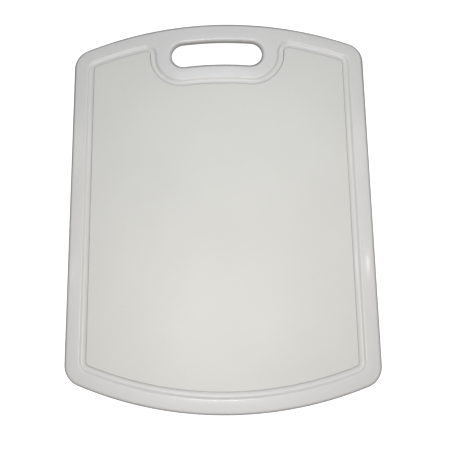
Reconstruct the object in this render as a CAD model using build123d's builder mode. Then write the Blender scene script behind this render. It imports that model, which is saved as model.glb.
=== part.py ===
from build123d import *
from math import asin, degrees, sqrt
import os

# A moulded cutting board with a hand slot and a juice groove.
# It is made in two shots: a hard, grained cutting panel, and a smooth rim moulded round it.
# Millimetres. The board lies flat: X across, Y along, towards the hand slot, and Z up.
# The origin is on the underside, at the middle of the board.

os.makedirs("parts", exist_ok=True)

# ---------------------------------------------------------------- driving dimensions

# the whole board
board_width = 282.0
board_length = 370.0            # over the crowns of its two bowed ends
board_thick = 8.0
end_radius = 349.0              # both ends bow outwards on this radius
corner_radius = 20.0
edge_round = 3.0                # rounding of the outer edge, above and below

# the hand slot, which is arched to follow the far end
bar_width = 18.0                # plastic between the end of the board and the slot
slot_length = 89.0
slot_height = 24.2
slot_round = 2.6                # rounding of the slot's edges, above and below

# the juice groove, which follows the edge and dips round the hand slot
rim_width = 13.8                # outer edge to groove
groove_width = 6.3
groove_depth = 1.9
groove_lip_round = 1.2          # where the rim rolls over into the groove
groove_foot_round = 0.9         # where the rim side of the groove meets its floor
side_land = 14.4                # flat beside the slot, out to the groove
lower_land = 14.1               # flat below the slot, down to the groove
dip_corner_radius = 24.8        # rim side of the groove, at the lower corners of the dip

# the cutting panel
panel_corner_radius = 4.0
panel_edge_round = 0.6

# the tongue of the panel, which the rim is moulded round
tongue_thick = 2.4
floor_skin = 1.2                # rim plastic between the tongue and the groove's floor
edge_wrap = 4.0                 # rim plastic outside the tongue
slot_wrap = 4.0                 # rim plastic between the tongue and the slot

# the keying holes through the tongue, which the rim's plastic fills
key_diameter = 4.5
key_pitch = 40.0                # the most that two neighbours may be apart
key_corner_gap = 12.0           # from the start of a corner to the nearest hole

# ---------------------------------------------------------------- worked-out places

half_width = board_width / 2
half_length = board_length / 2
arc_centre_y = half_length - end_radius             # of the far end; the near end mirrors it
side_end_y = arc_centre_y + sqrt(end_radius**2 - half_width**2)     # where side meets end

slot_radius = end_radius - bar_width - slot_height / 2      # middle line of the slot
slot_cap_x = slot_length / 2 - slot_height / 2              # centre of its round end
slot_half_angle = degrees(asin(slot_cap_x / slot_radius))

panel_inset = rim_width + groove_width
dip_half_width = slot_length / 2 + side_land                # rim side of the groove
dip_radius = slot_radius - slot_height / 2 - lower_land

groove_floor = board_thick - groove_depth
tongue_top = groove_floor - floor_skin
tongue_bottom = tongue_top - tongue_thick

# the keying holes run along the middle of the handle bar, and as far in all round
key_inset = bar_width / 2
key_side_span = 2 * (side_end_y - corner_radius - key_corner_gap)
key_end_span = 2 * (half_width - corner_radius - key_corner_gap)
key_end_radius = end_radius - key_inset
key_end_half_angle = degrees(asin(key_end_span / 2 / key_end_radius))
key_lower_radius = slot_radius - slot_height / 2 - key_inset


# ---------------------------------------------------------------- outlines

def bowed_outline(inset, radius):
    """The board's outline moved inwards: straight sides, bowed ends and round corners."""
    side_x = half_width - inset
    crown_y = half_length - inset
    corner_y = arc_centre_y + sqrt((end_radius - inset) ** 2 - side_x**2)
    with BuildSketch() as outline:
        with BuildLine():
            Line((side_x, -corner_y), (side_x, corner_y))
            ThreePointArc((side_x, corner_y), (0, crown_y), (-side_x, corner_y))
            Line((-side_x, corner_y), (-side_x, -corner_y))
            ThreePointArc((-side_x, -corner_y), (0, -crown_y), (side_x, -corner_y))
        make_face()
        fillet(outline.vertices(), radius=radius)
    return outline.sketch


def slot_outline(grow):
    """The hand slot, grown evenly all round."""
    start_angle = 90 - slot_half_angle
    with BuildSketch() as outline:
        with BuildLine(mode=Mode.PRIVATE) as middle:
            CenterArc((0, arc_centre_y), slot_radius, start_angle, 2 * slot_half_angle)
        SlotArc(middle.edge(), height=slot_height + 2 * grow)
    return outline.sketch


def dip_outline(out):
    """The dip round the hand slot, open past the far end, moved out from the groove's rim side."""
    side_x = dip_half_width + out
    radius = dip_radius - out
    foot_y = arc_centre_y + sqrt(radius**2 - side_x**2)
    with BuildSketch() as outline:
        with BuildLine():
            ThreePointArc((-side_x, foot_y), (0, arc_centre_y + radius), (side_x, foot_y))
            Polyline(
                (side_x, foot_y), (side_x, half_length), (-side_x, half_length), (-side_x, foot_y)
            )
        make_face()
        fillet(outline.vertices().sort_by(Axis.Y)[:2], radius=dip_corner_radius + out)
    return outline.sketch


def panel_outline(out):
    """The cutting panel's outline, moved outwards: 0 is its own edge, groove_width the rim's."""
    with BuildSketch() as outline:
        add(bowed_outline(panel_inset - out, panel_corner_radius + out))
        add(dip_outline(groove_width - out), mode=Mode.SUBTRACT)
        fillet(outline.vertices().sort_by(Axis.Y)[-2:], radius=panel_corner_radius + out)
    return outline.sketch


def key_count(span):
    """How many holes a stretch needs, so that no two are more than a pitch apart."""
    return int(span // key_pitch) + 2


# ---------------------------------------------------------------- cutting panel

with BuildPart() as cutting_panel:
    # the panel itself, the full thickness of the board
    with BuildSketch():
        add(panel_outline(0))
    extrude(amount=board_thick)
    panel_top = cutting_panel.faces().sort_by(Axis.Z)[-1]
    fillet(panel_top.outer_wire().edges(), radius=panel_edge_round)

    # the tongue, which reaches out under the groove and the rim and round the hand slot
    with BuildSketch(Plane.XY.offset(tongue_bottom)):
        add(bowed_outline(edge_wrap, corner_radius - edge_wrap))
        add(slot_outline(slot_wrap), mode=Mode.SUBTRACT)
    extrude(amount=tongue_thick)

    # the keying holes: along both sides, round both ends and below the hand slot
    with BuildSketch(Plane.XY.offset(tongue_bottom)):
        side_count = key_count(key_side_span)
        side_pitch = key_side_span / (side_count - 1)
        with GridLocations(board_width - 2 * key_inset, side_pitch, 2, side_count):
            Circle(key_diameter / 2)
        for centre_y, middle_angle, radius, half_angle, span in (
            (arc_centre_y, 90, key_end_radius, key_end_half_angle, key_end_span),
            (-arc_centre_y, 270, key_end_radius, key_end_half_angle, key_end_span),
            (arc_centre_y, 90, key_lower_radius, slot_half_angle, 2 * slot_cap_x),
        ):
            with Locations((0, centre_y)):
                with PolarLocations(
                    radius,
                    key_count(span),
                    start_angle=middle_angle - half_angle,
                    angular_range=2 * half_angle,
                    endpoint=True,
                ):
                    Circle(key_diameter / 2)
    extrude(amount=tongue_thick, mode=Mode.SUBTRACT)

cutting_panel.part.label = "cutting_panel"
export_step(cutting_panel.part, "parts/cutting_panel.step")

# ---------------------------------------------------------------- grip rim

with BuildPart() as grip_rim:
    # the whole board with its hand slot, rounded where a hand meets it
    with BuildSketch():
        add(bowed_outline(0, corner_radius))
        add(slot_outline(0), mode=Mode.SUBTRACT)
    extrude(amount=board_thick)
    board_top = grip_rim.faces().sort_by(Axis.Z)[-1]
    underside = grip_rim.faces().sort_by(Axis.Z)[0]
    outer_edges = board_top.outer_wire().edges() + underside.outer_wire().edges()
    slot_edges = board_top.inner_wires()[0].edges() + underside.inner_wires()[0].edges()
    fillet(outer_edges, radius=edge_round)
    fillet(slot_edges, radius=slot_round)

    # everything inside the groove's outer line comes down to the groove's floor
    with BuildSketch(Plane.XY.offset(groove_floor)):
        add(panel_outline(groove_width))
    extrude(amount=groove_depth, mode=Mode.SUBTRACT)
    floor = grip_rim.faces().filter_by(Axis.Z).group_by(Axis.Z)[-2][0]
    fillet(floor.outer_wire().edges(), radius=groove_foot_round)
    rim_top = grip_rim.faces().filter_by(Axis.Z).sort_by(Axis.Z)[-1]
    groove_lip = rim_top.inner_wires().sort_by(SortBy.LENGTH)[-1]
    fillet(groove_lip.edges(), radius=groove_lip_round)

    # the rim fills what the panel leaves free: round the tongue and through its holes
    add(cutting_panel.part, mode=Mode.SUBTRACT)

grip_rim.part.label = "grip_rim"
export_step(grip_rim.part, "parts/grip_rim.step")
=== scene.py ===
# %% [markdown]
# # A moulded cutting board
#
# The board is a slab of white plastic, 8 mm thick, with straight sides and two bowed ends. A hand
# slot is arched to follow the far end. Inside the rim runs a juice groove, which dips round the
# slot. The cutting panel inside the groove is grained and matt, and the rim outside it is smooth.
#
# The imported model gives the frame: where the board lies and how big it is. Everything below is
# made in that frame, in metres, with Z up and the board's underside on the floor.

import math

import bmesh
import bpy
import numpy as np
from mathutils import Matrix, Vector
from mathutils.geometry import delaunay_2d_cdt


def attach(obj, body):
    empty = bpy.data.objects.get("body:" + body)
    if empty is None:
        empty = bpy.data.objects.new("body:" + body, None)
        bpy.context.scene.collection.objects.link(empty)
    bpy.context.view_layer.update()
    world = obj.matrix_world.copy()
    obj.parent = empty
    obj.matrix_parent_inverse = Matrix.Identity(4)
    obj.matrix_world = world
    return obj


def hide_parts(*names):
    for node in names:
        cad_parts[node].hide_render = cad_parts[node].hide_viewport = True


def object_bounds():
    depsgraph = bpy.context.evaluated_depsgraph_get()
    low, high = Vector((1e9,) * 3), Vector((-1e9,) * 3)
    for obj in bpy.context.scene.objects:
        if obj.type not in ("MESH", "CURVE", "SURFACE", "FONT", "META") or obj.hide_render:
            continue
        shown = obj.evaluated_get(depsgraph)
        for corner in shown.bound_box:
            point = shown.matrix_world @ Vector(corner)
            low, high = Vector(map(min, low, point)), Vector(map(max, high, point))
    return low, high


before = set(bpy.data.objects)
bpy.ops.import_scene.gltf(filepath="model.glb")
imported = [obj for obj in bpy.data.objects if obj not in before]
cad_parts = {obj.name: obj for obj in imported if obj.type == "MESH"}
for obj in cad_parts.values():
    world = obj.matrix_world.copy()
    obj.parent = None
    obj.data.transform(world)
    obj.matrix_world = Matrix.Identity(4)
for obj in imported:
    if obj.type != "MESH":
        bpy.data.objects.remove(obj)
cad_low, cad_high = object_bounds()
print("frame:", sorted(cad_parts), "from", tuple(cad_low), "to", tuple(cad_high))

# %% [markdown]
# ## The sizes that the shape needs
#
# The overall size comes from the frame, so the looks can never drift away from the model. The rest
# are the board's own sizes: the radii of its ends and corners, the slot, and the groove. A real
# moulding has almost no flat top on its rim. It is crowned, a fraction of a millimetre lower at its
# edges than along its middle, and that is what catches the light.

# %% Sizes
mm = 0.001

board_width = cad_high.x - cad_low.x
board_length = cad_high.y - cad_low.y
board_thick = cad_high.z - cad_low.z
end_radius = 349 * mm
corner_radius = 20 * mm
edge_nose = 3.4 * mm            # how far in from the board's edge the top starts to round over

bar_width = 18 * mm
slot_length = 89 * mm
slot_height = 24.2 * mm
slot_nose = 2.8 * mm            # the same at the slot's edge

rim_width = 13.8 * mm
groove_width = 6.3 * mm
groove_depth = 1.9 * mm
side_land = 14.4 * mm
lower_land = 14.1 * mm
dip_corner_radius = 24.8 * mm
panel_corner_radius = 4 * mm
panel_edge_round = 0.6 * mm

crown_drop = 0.2 * mm           # how far the rim falls from its middle to its edges
crown_reach = rim_width / 2

half_width = board_width / 2
half_length = board_length / 2
end_centre_y = half_length - end_radius
slot_radius = end_radius - bar_width - slot_height / 2
slot_cap_x = slot_length / 2 - slot_height / 2
print("board:", [round(side / mm, 1) for side in (board_width, board_length, board_thick)], "mm")

# %% [markdown]
# ## Outlines as lines and arcs
#
# Every outline of the board is made of straight lines and arcs that meet in line with each other.
# They could be drawn as curves and bevelled, but then the groove could not be given a shape of its
# own. So an outline is kept as a short list of lines and arcs, walked in small steps, and each step
# gives a point and the direction straight out of the outline. A cross-section can then be carried
# round it, and the distance from any point to the outline is exact.

# %% Lines and arcs
walk_step = 2 * mm              # the longest step along a line or a wide arc
walk_turn = math.radians(4)     # the most that an arc turns in one step


def line(start, end):
    return {"start": np.array(start), "end": np.array(end), "radius": None}


def arc(centre, radius, begin, finish):
    """An arc from one angle to another: anticlockwise bulges out, clockwise curves in."""
    return {"centre": np.array(centre), "radius": radius, "begin": begin, "finish": finish}


def mirrored(pieces):
    """The same pieces on the other side of the middle line, in walking order."""
    twins = []
    for piece in reversed(pieces):
        if piece["radius"] is None:
            start_x, start_y = piece["start"]
            end_x, end_y = piece["end"]
            twins.append(line((-end_x, end_y), (-start_x, start_y)))
        else:
            centre_x, centre_y = piece["centre"]
            begin = math.pi - piece["finish"]
            finish = math.pi - piece["begin"]
            twins.append(arc((-centre_x, centre_y), piece["radius"], begin, finish))
    return twins


def walk(outline):
    """Points along a closed outline, and the outward direction at each."""
    points, outward = [], []
    for piece in outline:
        if piece["radius"] is None:
            run = piece["end"] - piece["start"]
            length = np.linalg.norm(run)
            count = max(1, math.ceil(length / walk_step))
            along = run / length
            for share in np.arange(count) / count:
                points.append(piece["start"] + run * share)
                outward.append((along[1], -along[0]))
        else:
            sweep = piece["finish"] - piece["begin"]
            by_length = math.ceil(abs(sweep) * piece["radius"] / walk_step)
            by_turn = math.ceil(abs(sweep) / walk_turn)
            count = max(1, by_length, by_turn)
            for share in np.arange(count) / count:
                angle = piece["begin"] + sweep * share
                direction = np.array((math.cos(angle), math.sin(angle)))
                points.append(piece["centre"] + direction * piece["radius"])
                outward.append(direction * math.copysign(1, sweep))
    return np.array(points), np.array(outward)


def distance(points, outline):
    """How far each point is from the nearest line or arc of an outline."""
    nearest = np.full(len(points), np.inf)
    for piece in outline:
        if piece["radius"] is None:
            run = piece["end"] - piece["start"]
            share = np.clip((points - piece["start"]) @ run / (run @ run), 0, 1)
            gap = np.linalg.norm(points - (piece["start"] + share[:, None] * run), axis=1)
        else:
            away = points - piece["centre"]
            low, high = sorted((piece["begin"], piece["finish"]))
            middle = (low + high) / 2
            angle = np.arctan2(away[:, 1], away[:, 0])
            off = (angle - middle + math.pi) % (2 * math.pi) - math.pi
            angle = middle + np.clip(off, low - middle, high - middle)
            rim = piece["centre"] + piece["radius"] * np.stack((np.cos(angle), np.sin(angle)), 1)
            gap = np.linalg.norm(points - rim, axis=1)
        nearest = np.minimum(nearest, gap)
    return nearest


# %% [markdown]
# ## The three outlines
#
# The board's edge has a bowed end above and below, and a round corner where side meets end. The
# centre of such a corner is found from two facts: it lies one corner radius inside the side, and one
# corner radius inside the end's arc. The panel's edge has the same form, further in, with a dip
# round the hand slot. The slot follows the far end, so its two long edges share that end's centre.

# %% The board's edge, the panel's edge and the slot
def corner(inset, radius):
    """Centre of a round corner and the angle at which it runs into the end's arc."""
    x = half_width - inset - radius
    rise = math.sqrt((end_radius - inset - radius) ** 2 - x**2)
    return x, end_centre_y + rise, math.atan2(rise, x)


def near_half(inset, radius):
    """The left side, the near end and the start of the right side, which mirror the far ones."""
    x, y, angle = corner(inset, radius)
    side_x = half_width - inset
    left_corner = arc((-x, -y), radius, math.pi, math.pi + angle)
    end = arc((0, -end_centre_y), end_radius - inset, math.pi + angle, 2 * math.pi - angle)
    right_corner = arc((x, -y), radius, -angle, 0)
    return [line((-side_x, y), (-side_x, -y)), left_corner, end, right_corner]


def board_edge():
    x, y, angle = corner(0, corner_radius)
    far_corner = arc((x, y), corner_radius, 0, angle)
    far_end = arc((0, end_centre_y), end_radius, angle, math.pi - angle)
    side = line((half_width, -y), (half_width, y))
    return [side, far_corner, far_end, *mirrored([far_corner]), *near_half(0, corner_radius)]


def panel_edge():
    inset = rim_width + groove_width
    radius = panel_corner_radius
    x, y, angle = corner(inset, radius)
    side_x = half_width - inset
    side = line((side_x, -y), (side_x, y))
    far_corner = arc((x, y), radius, 0, angle)

    dip_x = slot_length / 2 + side_land + groove_width
    turn_x = dip_x + radius
    turn_rise = math.sqrt((end_radius - inset - radius) ** 2 - turn_x**2)
    turn_angle = math.atan2(turn_rise, turn_x)
    turn_y = end_centre_y + turn_rise
    far_end = arc((0, end_centre_y), end_radius - inset, angle, turn_angle)
    turn_in = arc((turn_x, turn_y), radius, turn_angle, math.pi)

    dip_radius = slot_radius - slot_height / 2 - lower_land - groove_width
    bend_radius = dip_corner_radius + groove_width
    bend_x = dip_x - bend_radius
    bend_rise = math.sqrt((dip_radius + bend_radius) ** 2 - bend_x**2)
    bend_angle = math.atan2(bend_rise, bend_x)
    bend_y = end_centre_y + bend_rise
    leg = line((dip_x, turn_y), (dip_x, bend_y))
    bend = arc((bend_x, bend_y), bend_radius, 0, bend_angle - math.pi)
    below_slot = arc((0, end_centre_y), dip_radius, bend_angle, math.pi - bend_angle)

    right = [far_corner, far_end, turn_in, leg, bend]
    return [side, *right, below_slot, *mirrored(right), *near_half(inset, radius)]


def slot_edge():
    half_angle = math.asin(slot_cap_x / slot_radius)
    right, left = math.pi / 2 - half_angle, math.pi / 2 + half_angle
    centre = (0, end_centre_y)
    cap_y = end_centre_y + slot_radius * math.cos(half_angle)
    cap = slot_height / 2
    return [
        arc(centre, slot_radius - cap, left, right),
        arc((slot_cap_x, cap_y), cap, right - math.pi, right),
        arc(centre, slot_radius + cap, right, left),
        arc((-slot_cap_x, cap_y), cap, left, left + math.pi),
    ]


BOARD_EDGE, PANEL_EDGE, SLOT_EDGE = board_edge(), panel_edge(), slot_edge()
for title, outline in (("board", BOARD_EDGE), ("panel", PANEL_EDGE), ("slot", SLOT_EDGE)):
    points, _ = walk(outline)
    span = (points.max(0) - points.min(0)) / mm
    print(title, "edge:", len(points), "points,", np.round(span, 1), "mm")

# %% [markdown]
# ## Heights across the rim and the groove
#
# The rim's top is a shallow parabola, highest in its middle and `crown_drop` lower at any edge.
# Towards the groove it rolls down in a soft S to a rounded floor, which climbs again a little
# before it meets the panel's wall. Separate bevels could round each of these, but every bevel
# ends in a line that catches the light. Heights written as functions of the distance to an edge
# run into each other smoothly.

# %% Height functions
floor_height = board_thick - groove_depth
roll_start = 3.7 * mm           # from the panel's edge to where the floor begins to climb to the rim
roll_end = groove_width + 0.5 * mm
foot_reach = 2.4 * mm           # how far from the panel's wall the floor starts to climb to it
foot_climb = 0.5 * mm


def crowned(gap):
    """Height of the rim's top at a distance from its nearest edge."""
    return board_thick - crown_drop * np.clip(1 - gap / crown_reach, 0, None) ** 2


def groove_height(out):
    """Height at a distance out from the panel's edge: the groove's floor, and up onto the rim."""
    climb = foot_climb * np.clip(1 - out / foot_reach, 0, None) ** 2
    share = np.clip((out - roll_start) / (roll_end - roll_start), 0, 1)
    rolled = (1 - np.cos(math.pi * share)) / 2
    return (floor_height + climb) * (1 - rolled) + crowned(out - groove_width) * rolled


print("rim at its edges:", round(float(crowned(0.0)) / mm, 2), "mm high")
print("groove's floor:", round(floor_height / mm, 2), "mm high")

# %% [markdown]
# ## Carrying a cross-section round an outline, and filling what is left
#
# A cross-section is a list of steps, each a distance from the outline and a height. Carried round
# the outline, each step becomes a ring of points, and two neighbouring rings are joined by a band
# of four-sided faces. Where the rim widens round the hand slot, no cross-section fits, so the
# space between the rings is filled with triangles: points are laid over it like eggs in a tray,
# and a Delaunay triangulation joins them to the rings. The heights of those points come from the
# same functions, so the fill carries on the surface of the bands.

# %% Bands and fills
ring_clearance = 0.6            # no point of a fill is nearer to a ring than this share of its spacing
chunk = 50                      # ring points that are compared with the fill's points at a time
join_within = 1e-7              # points as near as this are taken for one


def ring_band(bm, outline, section):
    """Carries a cross-section round an outline, and returns its rings of points."""
    points, outward = walk(outline)
    rings = []
    for out, height in section:
        places = points + outward * out
        rings.append([bm.verts.new((x, y, height)) for x, y in places])
    for inner, outer in zip(rings, rings[1:]):
        for i in range(len(inner)):
            j = (i + 1) % len(inner)
            bm.faces.new((inner[i], inner[j], outer[j], outer[i]))
    return rings


def inside(points, loop):
    """Which points lie inside a closed loop of corners."""
    found = np.zeros(len(points), bool)
    x, y = points[:, 0], points[:, 1]
    for (ax, ay), (bx, by) in zip(loop, np.roll(loop, -1, axis=0)):
        if ay != by:
            crosses = ((ay > y) != (by > y)) & (x < (bx - ax) * (y - ay) / (by - ay) + ax)
            found ^= crosses
    return found


def fill(bm, outer, holes, spacing, height):
    """Fills the space between an outer ring and its holes, with points a spacing apart."""
    loops = [np.array([v.co[:2] for v in ring]) for ring in (outer, *holes)]
    low, high = loops[0].min(0), loops[0].max(0)
    row_gap = spacing * math.sqrt(3) / 2
    rows = np.arange(low[1], high[1], row_gap)
    grid = [
        (x + (spacing / 2 if row % 2 else 0), y)
        for row, y in enumerate(rows)
        for x in np.arange(low[0], high[0], spacing)
    ]
    grid = np.array(grid)
    keep = inside(grid, loops[0])
    for loop in loops[1:]:
        keep &= ~inside(grid, loop)
    grid = grid[keep]
    for loop in loops:
        for start in range(0, len(loop), chunk):
            part = loop[start:start + chunk]
            gaps = np.linalg.norm(grid[:, None] - part[None], axis=2).min(1)
            grid = grid[~(gaps < spacing * ring_clearance)]
    heights = height(grid)
    verts = [v for ring in (outer, *holes) for v in ring]
    verts += [bm.verts.new((x, y, z)) for (x, y), z in zip(grid, heights)]
    edges, first = [], 0
    for loop in loops:
        count = len(loop)
        edges += [(first + i, first + (i + 1) % count) for i in range(count)]
        first += count
    flat = [Vector(v.co[:2]) for v in verts]
    placed, _, faces, origin, _, _ = delaunay_2d_cdt(flat, edges, [], 0, join_within)
    middles = np.array([np.mean([placed[i][:] for i in face], axis=0) for face in faces])
    wanted = inside(middles, loops[0])
    for loop in loops[1:]:
        wanted &= ~inside(middles, loop)
    for face, good in zip(faces, wanted):
        if good:
            bm.faces.new([verts[origin[i][0]] for i in face])


def finished(name, bm):
    """Counts the open edges, turns the faces outwards, smooths the shading and gives it a name."""
    bmesh.ops.recalc_face_normals(bm, faces=bm.faces)
    open_edges = sum(1 for edge in bm.edges if not edge.is_manifold)
    mesh = bpy.data.meshes.new(name)
    bm.to_mesh(mesh)
    bm.free()
    mesh.shade_smooth()
    piece = bpy.data.objects.new(name, mesh)
    bpy.context.scene.collection.objects.link(piece)
    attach(piece, "root")
    print(name, "has", len(mesh.vertices), "points and", open_edges, "open edges")
    return piece


def mark(piece, name, values):
    """Stores a number from 0 to 1 at every point of a piece, for its material to read."""
    piece.data.attributes.new(name, "FLOAT", "POINT").data.foreach_set("value", values)
    print(name + ":", int((values > 0).sum()), "points of", piece.name)


# %% [markdown]
# ## The rim's cross-sections
#
# On the real board the rim is the second shot of plastic. It makes the whole outer edge, the hand
# slot and the floor of the groove. Three cross-sections make it here. One rolls over the board's
# edge and down to the underside, with the faint raised line where the two halves of the mould
# met. One does the same inside the slot, without that line. One runs from the rim down through
# the groove to the panel's wall and on to the underside.
#
# A bevel would round each edge on a quarter circle. Here an edge is a quarter of an ellipse above
# and another below, so that how far in and how far down they reach can be chosen apart. The two
# make one round nose, with only the parting line between them, as a hand feels it.

# %% Cross-sections
band_reach = 4 * mm             # how far onto the rim's top each cross-section runs
seam_gap = 0.08 * mm            # the hairline between rim and panel
seam_round = 0.12 * mm
seam_land = 0.6 * mm            # how far onto the underside the groove's cross-section runs
edge_land = 0.4 * mm            # the same for the cross-sections of the edges
parting_height = board_thick / 2
parting_bead = 0.05 * mm        # how far the mould's parting line stands out
bead_half_height = 0.1 * mm
nose_gap = 2.5 * bead_half_height   # from the middle of the parting line to the start of a nose


def nose(width, fall, count=12):
    """A quarter of an ellipse from the top of an edge to its wall: distance in, and drop."""
    turns = np.linspace(0, math.pi / 2, count + 1)
    return [(width * (1 - math.sin(a)), fall * (1 - math.cos(a))) for a in turns]


def edge_section(width):
    """Over an edge: along the crown, round the nose past the parting line, and underneath."""
    over = parting_height + nose_gap
    under = parting_height - nose_gap
    steps = [(-gap, crowned(gap)) for gap in np.linspace(band_reach, width, 4)[:-1]]
    for gap, drop in nose(width, board_thick - crown_drop - over):
        steps.append((-gap, crowned(gap) - drop))
    steps += [(0, parting_height + bead_half_height), (0, parting_height)]
    steps += [(0, parting_height - bead_half_height)]
    steps += [(-gap, drop) for gap, drop in reversed(nose(width, under))]
    steps.append((-width - edge_land, 0))
    return steps


def outer_section():
    """The board's edge, held in by the height of the parting line, which then stands out."""
    steps = [(out - parting_bead, height) for out, height in edge_section(edge_nose)]
    return [(out + parting_bead * (height == parting_height), height) for out, height in steps]


def slot_section():
    """The slot's edge is the same, but the plastic lies outside its outline."""
    return [(-out, height) for out, height in edge_section(slot_nose)]


def groove_section():
    """From the rim's top down into the groove, to the panel's wall and down to the underside."""
    outs = np.concatenate((
        np.linspace(groove_width + band_reach, roll_end, 7)[:-1],
        np.linspace(roll_end, roll_start, 15)[:-1],
        np.linspace(roll_start, foot_reach, 4)[:-1],
        np.linspace(foot_reach, seam_gap, 9),
    ))
    steps = [(out, groove_height(out)) for out in outs]
    steps += [(seam_gap, seam_round), (seam_gap + seam_round, 0), (seam_gap + seam_land, 0)]
    return steps


sections = {"board's edge": outer_section(), "slot": slot_section(), "groove": groove_section()}
for title, section in sections.items():
    print(title, "cross-section:", len(section), "steps")

# %% [markdown]
# ## The rim's mesh
#
# The three bands are joined by two fills. The one on top has points close together, because it
# carries the crown of the rim. The one underneath is flat and needs far fewer.

# %% Rim
top_spacing = 2 * mm
under_spacing = 4 * mm


def rim_top(points):
    """Height of the rim's top between the cross-sections."""
    to_groove = distance(points, PANEL_EDGE) - groove_width
    gap = np.minimum(distance(points, BOARD_EDGE), distance(points, SLOT_EDGE))
    return crowned(np.minimum(gap, to_groove))


def flat_at(height):
    return lambda points: np.full(len(points), height)


bm = bmesh.new()
edge_rings = ring_band(bm, BOARD_EDGE, sections["board's edge"])
slot_rings = ring_band(bm, SLOT_EDGE, sections["slot"])
groove_rings = ring_band(bm, PANEL_EDGE, sections["groove"])
fill(bm, edge_rings[0], [slot_rings[0], groove_rings[0]], top_spacing, rim_top)
fill(bm, edge_rings[-1], [slot_rings[-1], groove_rings[-1]], under_spacing, flat_at(0))
rim = finished("board_rim", bm)
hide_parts("grip_rim")

# %% [markdown]
# ## Painted shade along the rim's edges
#
# Painted shade: the white is greyed in a thin line over the outer edge, more so at the far end, and
# on the edge of the hand slot nearest the panel, which darkens the outline of the board and the
# slot. The greying fades away down the wall. A noise texture alone could not follow the edges, so
# how much shade each point gets comes from its distance to them. The number is stored at the
# points, and the rim's material reads it.

# %% Painted edge shade
shade_full = 0.9 * mm            # the greying is full as far in from an edge as this
shade_end = 2.1 * mm             # and ends here
shade_widening = 1.5 * mm           # how much further in both are at the far end and at the slot
near_fade = 9 * mm              # round the slot's ends the greying comes in over this distance
shade_low = (2.6 * mm, 3.6 * mm)     # down the wall it fades away between these depths

spots = np.array([point.co[:] for point in rim.data.vertices])
edge_gap = distance(spots[:, :2], BOARD_EDGE)
slot_gap = distance(spots[:, :2], SLOT_EDGE)
below_slot = slot_radius - np.linalg.norm(spots[:, :2] - (0, end_centre_y), axis=1)
near_side = np.clip(below_slot / near_fade, 0, 1)
far_end_widening = shade_widening * np.clip(spots[:, 1] / half_length, 0, 1) ** 2
shaded_outer_edge = np.interp(edge_gap - far_end_widening, (shade_full, shade_end), (1, 0))
shaded_slot_edge = np.interp(slot_gap - shade_widening, (shade_full, shade_end), (1, 0)) * near_side
# Painted shade: grey over the board's outer edge and the slot's near edge, fading away down the wall.
painted_edge_shade = np.maximum(shaded_outer_edge, shaded_slot_edge) * np.interp(board_thick - spots[:, 2], shade_low, (1, 0))
mark(rim, "painted_edge_shade", painted_edge_shade)

# %% [markdown]
# ## The cutting panel
#
# The panel is the first shot: a hard plate whose edge is the inner wall of the groove. Its top
# edge is only just rounded, so it reads as a thin line, and a faint painted shade greys the colour
# along it. The rest is a wall down to the underside and two flat faces. Their grain is too fine to
# model as geometry, so it is left to the material. The painted shade is stored at the points, as
# the rim's is.

# %% Panel
panel_shade_full = 0.3 * mm           # how far in from its edge the panel's painted shade is full
land_steps = (1.2 * mm, 0.4 * mm)   # rings on the flat face that keep the shading of the edge narrow
panel_spacing = 4 * mm
panel_under_spacing = 6 * mm


def panel_section():
    """From the flat top over the edge, down the wall and onto the underside."""
    steps = [(-panel_edge_round - gap, board_thick) for gap in land_steps]
    steps += [(-gap, board_thick - drop) for gap, drop in nose(panel_edge_round, panel_edge_round, 5)]
    steps += [(0, floor_height + foot_climb), (0, floor_height), (0, seam_round)]
    steps += [(-seam_round, 0), (-seam_land, 0)]
    return steps


bm = bmesh.new()
panel_rings = ring_band(bm, PANEL_EDGE, panel_section())
fill(bm, panel_rings[0], [], panel_spacing, flat_at(board_thick))
fill(bm, panel_rings[-1], [], panel_under_spacing, flat_at(0))
panel = finished("board_panel", bm)
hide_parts("cutting_panel")

spots = np.array([point.co[:] for point in panel.data.vertices])
# Painted shade along the panel's edge: full at the edge, gone where its rounding ends.
painted_panel_shade = np.interp(distance(spots[:, :2], PANEL_EDGE), (panel_shade_full, panel_edge_round), (1, 0))
mark(panel, "painted_panel_shade", painted_panel_shade)

# %% [markdown]
# ## A short way to write materials
#
# A material is a graph of nodes. It could be wired by hand, but long lists of nodes and links are
# hard to read. So one small class wraps an output and lets it be added and multiplied as a
# number would be, and each operation adds its Math node. Any other node comes from
# `Finish.node`, which takes the node's type, its settings, and what goes into its inputs.

# %% Finish and Wire
class Wire:
    """An output in a material's graph that can be used in arithmetic."""

    def __init__(self, finish, socket):
        self.finish = finish
        self.socket = socket

    def maths(self, operation, *values):
        return self.finish.node("Math", {"operation": operation}, dict(enumerate(values)))

    def __add__(self, other):
        return self.maths("ADD", self, other)

    def __mul__(self, other):
        return self.maths("MULTIPLY", self, other)

    __radd__ = __add__
    __rmul__ = __mul__


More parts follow.
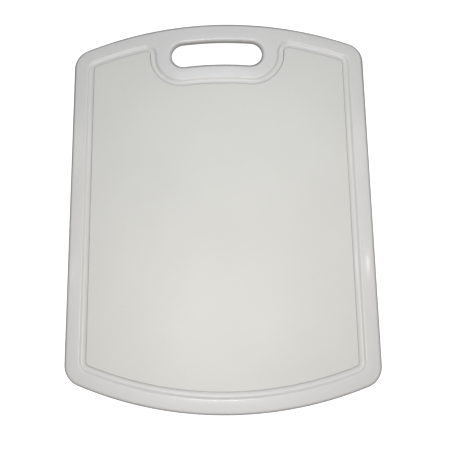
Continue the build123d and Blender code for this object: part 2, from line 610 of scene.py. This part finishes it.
class Finish:
    """One material, and the short way to add nodes to it."""

    def __init__(self, name):
        self.material = bpy.data.materials.new(name)
        self.material.use_nodes = True
        self.tree = self.material.node_tree
        self.shader = self.tree.nodes["Principled BSDF"]
        self.place = self.node("TexCoord", output="Object")

    def feed(self, socket, value):
        if isinstance(value, Wire):
            self.tree.links.new(value.socket, socket)
        else:
            socket.default_value = value

    def node(self, kind, settings=None, inputs=None, output=0):
        made = self.tree.nodes.new("ShaderNode" + kind)
        for setting, value in (settings or {}).items():
            setattr(made, setting, value)
        for key, value in (inputs or {}).items():
            self.feed(made.inputs[key], value)
        return Wire(self, made.outputs[output])

    def noise(self, size, detail=2.0, roughness=0.5):
        """Soft random values from 0 to 1, in lumps of about the given size."""
        inputs = {"Vector": self.place, "Scale": 1 / size, "Detail": detail, "Roughness": roughness}
        return self.node("TexNoise", {}, inputs)

    def blend(self, share, first, second):
        """A colour between two others. A Mix node's sockets 6 and 7 are its colours A and B."""
        inputs = {"Factor": share, 6: first, 7: second}
        return self.node("Mix", {"data_type": "RGBA"}, inputs, output=2)

    def span(self, value, low, high, to_low=0.0, to_high=1.0):
        """Stretches a range of values to another, and stops at its ends."""
        ends = {"From Min": low, "From Max": high, "To Min": to_low, "To Max": to_high}
        return self.node("MapRange", {"clamp": True}, {"Value": value, **ends})

    def stored(self, name):
        """A number that was stored at the points of the mesh."""
        return self.node("Attribute", {"attribute_name": name}, output="Fac")

    def bump(self, height, depth):
        """Raises the surface by height, from 0 to 1, times a depth in metres."""
        return self.node("Bump", {}, {"Height": height, "Distance": depth, "Strength": 1.0})

    def set(self, **values):
        """Sets the shader's own sockets, named with underscores for spaces."""
        for name, value in values.items():
            self.feed(self.shader.inputs[name.replace("_", " ")], value)

    def on(self, piece):
        piece.data.materials.clear()
        piece.data.materials.append(self.material)
        print(self.material.name, "has", len(self.tree.nodes), "nodes, on", piece.name)


# %% [markdown]
# ## Grained plastic for the panel
#
# The mould's face is etched, so the plastic comes out covered in shallow pebbles about a
# millimetre across, with a finer tooth on top. That is what makes it matt, and what keeps a wet
# onion from sliding. Noise alone would look like sand, so the pebbles are the rounded cells of a
# Voronoi texture, bent a little by noise so that no two are alike. The white is never even
# either: it drifts by a few percent over a hand's width, where the plastic flowed and cooled.

# %% Panel finish
panel_white = (0.594, 0.588, 0.572, 1)
panel_white_deep = (0.579, 0.573, 0.557, 1)
# The grey of the painted shade along the panel's edge.
panel_shade_grey = (0.34, 0.33, 0.32, 1)

drift_size = 60 * mm            # the patches over which the white drifts
drift_range = (0.35, 0.65)      # noise stays near its middle; this stretches it to the full range
pebble_size = 1.15 * mm
wobble_size = 3 * mm            # the size of the noise that bends the pebbles
wobble_reach = 0.6 * mm         # and how far it moves them
tooth_size = 0.35 * mm
grain_depth = 0.05 * mm

grained = Finish("grained_plastic")
drift = grained.noise(drift_size, 3.0)
bend = grained.node(
    "TexNoise",
    {},
    {"Vector": grained.place, "Scale": 1 / wobble_size},
    output="Color",
)
wobble = grained.node(
    "VectorMath",
    {"operation": "MULTIPLY_ADD"},
    {0: bend, 1: (wobble_reach,) * 3, 2: grained.place},
)
cells = grained.node(
    "TexVoronoi",
    {"feature": "SMOOTH_F1"},
    {"Vector": wobble, "Scale": 1 / pebble_size, "Smoothness": 0.6},
    output="Distance",
)
tooth = grained.noise(tooth_size)
pebbles = grained.span(cells, 0.1, 0.75, 1.0, 0.0)
# Painted shade along the panel's edge, made a little uneven by the drift noise.
panel_shade_mask = grained.stored("painted_panel_shade") * grained.span(drift, 0.3, 0.7, 0.85, 1.0)
clean = grained.blend(grained.span(drift, *drift_range), panel_white, panel_white_deep)
grained.set(
    Base_Color=grained.blend(panel_shade_mask, clean, panel_shade_grey),
    Roughness=grained.span(pebbles, 0.0, 1.0, 0.52, 0.44),
    IOR=1.5,
    Normal=grained.bump(pebbles * 0.8 + tooth * 0.2, grain_depth),
)
grained.on(panel)

# %% [markdown]
# ## Smooth plastic for the rim
#
# The rim is moulded against polished steel, so it has a satin sheen. It is not a mirror: melted
# plastic shrinks as it sets and leaves a very shallow orange peel, and handling leaves the gloss a
# little uneven. Both are kept small, or the rim would look hammered.
#
# One roughness can't give both the soft sheen and the small sharp glints on top of it, so a thin
# coat is laid over a rougher base. Where the rim is scuffed, the coat is weaker. Where the stored
# painted shade lies along the edges, the white turns grey, in uneven patches.

# %% Rim finish
rim_white = (0.593, 0.585, 0.587, 1)
rim_white_deep = (0.578, 0.570, 0.572, 1)
# The grey of the painted shade along the rim's edges.
rim_shade_grey = (0.30, 0.29, 0.30, 1)

peel_size = 2.6 * mm
peel_depth = 0.006 * mm
scuff_size = 9 * mm
scuff_range = (0.3, 0.7)

smooth = Finish("smooth_plastic")
drift = smooth.noise(drift_size, 3.0)
peel = smooth.noise(peel_size, 1.0)
scuff = smooth.noise(scuff_size, 4.0, 0.6)
# Painted shade along the edges, broken into uneven patches by the scuff noise.
rim_shade_patches = smooth.stored("painted_edge_shade") * smooth.span(scuff, *scuff_range, 0.8, 1.0)
clean = smooth.blend(smooth.span(drift, *drift_range), rim_white, rim_white_deep)
smooth.set(
    Base_Color=smooth.blend(rim_shade_patches, clean, rim_shade_grey),
    Roughness=smooth.span(scuff, *scuff_range, 0.40, 0.48),
    IOR=1.5,
    Coat_Weight=smooth.span(scuff, *scuff_range, 0.25, 0.15),
    Coat_Roughness=0.14,
    Normal=smooth.bump(peel, peel_depth),
)
smooth.on(rim)

# %% [markdown]
# ## Floor
#
# The board lies on a plain pale table. A flat sheet would end in a horizon, so it curves up into
# a backdrop all round, as a studio's roll of paper does. The table glows a little of itself, so
# that it stays white and the board's shadow on it stays faint. That glow would light the board's
# edges from below and wipe out their dark line, so the table is kept out of reflections and
# bounced light.

# %% Floor
floor_size = 6.0
floor_drop = 0.1 * mm
sweep_start = 1.4               # how far out the floor starts to curve up into a backdrop
sweep_rise = 1.0                # how high it has risen a metre further out
floor_squares = 60

bm = bmesh.new()
bmesh.ops.create_grid(bm, x_segments=floor_squares, y_segments=floor_squares, size=floor_size / 2)
for point in bm.verts:
    point.co.z = sweep_rise * max(0, point.co.xy.length - sweep_start) ** 2
floor_mesh = bpy.data.meshes.new("floor")
bm.to_mesh(floor_mesh)
bm.free()
floor_mesh.shade_smooth()
floor = bpy.data.objects.new("floor", floor_mesh)
floor.location.z = cad_low.z - floor_drop
bpy.context.scene.collection.objects.link(floor)
floor.visible_glossy = False
floor.visible_diffuse = False

table = Finish("pale_table")
table.set(
    Base_Color=(0.3, 0.3, 0.3, 1),
    Roughness=0.9,
    Emission_Color=(1, 1, 1, 1),
    Emission_Strength=0.92,
)
table.on(floor)
print("floor:", floor_size, "m across, risen to", round(max(v.co.z for v in floor_mesh.vertices), 1), "m")

# %% [markdown]
# ## Light
#
# One big lamp would light the board evenly, and the rim would look flat. So soft round lamps hang
# over the board, all at one height: a strong warm one at the near end, weaker ones at the sides,
# and a cool window beyond the far end. The strong ones hang over the board's middle line, so the
# outer edge turns away from them and goes dark. Each lamp draws its own soft streak along the
# crown of the rim and the hollow of the groove. Two very small lamps make the glints on the side
# rims, and one low lamp in front lights the far wall of the hand slot.

# %% Lamps
lamp_height = 0.55
soft_size = 0.2
spot_size = 0.02
board_middle = Vector((0, 0, 0))
white = (1.0, 1.0, 1.0)


def lamp(name, x, y, size, power, colour, height=lamp_height):
    place = Vector((x, y, height))
    data = bpy.data.lights.new(name, "AREA")
    data.shape = "DISK"
    data.size = size
    data.energy = power
    data.color = colour
    made = bpy.data.objects.new(name, data)
    made.location = place
    made.rotation_mode = "QUATERNION"
    made.rotation_quaternion = (board_middle - place).to_track_quat("-Z", "Y")
    made.visible_camera = False
    bpy.context.scene.collection.objects.link(made)


lamp("near_lamp", 0.0, -0.165, 0.13, 1.49, (1.0, 0.98, 0.94))
lamp("near_right_lamp", 0.13, -0.20, soft_size, 0.117, (1.0, 0.80, 0.72))
lamp("near_left_lamp", -0.13, -0.20, soft_size, 0.127, (1.0, 0.90, 0.87))
lamp("right_lamp", 0.14, 0.0, soft_size, 0.283, (0.99, 1.0, 0.90))
lamp("left_lamp", -0.14, 0.0, soft_size, 0.195, (0.88, 1.0, 0.90))
lamp("right_spot", 0.31, -0.022, spot_size, 0.175, white)
lamp("left_spot", -0.30, -0.032, spot_size, 0.078, white)
lamp("far_lamp", 0.12, 0.20, soft_size, 0.487, (0.97, 1.0, 0.95))
lamp("far_right_lamp", 0.30, 0.24, 0.12, 0.156, (1.0, 1.0, 0.97))
lamp("far_left_lamp", -0.30, 0.24, 0.12, 0.137, (1.0, 1.0, 0.97))
lamp("window", 0.0, 0.33, soft_size, 0.682, (0.835, 0.885, 1.0))
lamp("front_lamp", 0.0, -0.60, soft_size, 0.439, (0.97, 0.97, 1.0), height=0.32)
lamps = [light for light in bpy.context.scene.objects if light.type == "LIGHT"]
print(len(lamps), "lamps of", round(sum(light.data.energy for light in lamps), 2), "W in all")

world = bpy.data.worlds.new("room")
bpy.context.scene.world = world
world.use_nodes = True
sky = world.node_tree.nodes["Background"]
sky.inputs["Color"].default_value = (0.97, 0.98, 1.0, 1)
sky.inputs["Strength"].default_value = 0.08
bpy.context.scene.view_settings.view_transform = "Standard"

# %% [markdown]
# ## Camera
#
# The camera looks down on the board from just in front of its middle, less than half a metre up,
# so the far end looks a little narrower than the near one.

# %% Camera
camera_place = Vector((-7.2, -77.5, 420.0)) * mm
camera_forward = Vector((-0.0425, 0.1463, -0.9883)).normalized()
camera_up = Vector((0.0107, 0.9892, 0.1460))

camera_data = bpy.data.cameras.new("camera")
camera_data.lens = 36           # as long as the sensor is wide: a view of 53 degrees
camera_data.sensor_width = 36
camera_data.shift_x = 0.0733    # the board lies a little left of the middle of the view
camera_data.clip_start = 0.01
camera = bpy.data.objects.new("camera", camera_data)
right = camera_forward.cross(camera_up).normalized()
up = right.cross(camera_forward)
turn = Matrix((right, up, -camera_forward)).transposed()
camera.matrix_world = Matrix.Translation(camera_place) @ turn.to_4x4()
bpy.context.scene.collection.objects.link(camera)
bpy.context.scene.camera = camera
print("camera:", [round(value, 3) for value in camera_place], "m, lens", camera_data.lens, "mm")
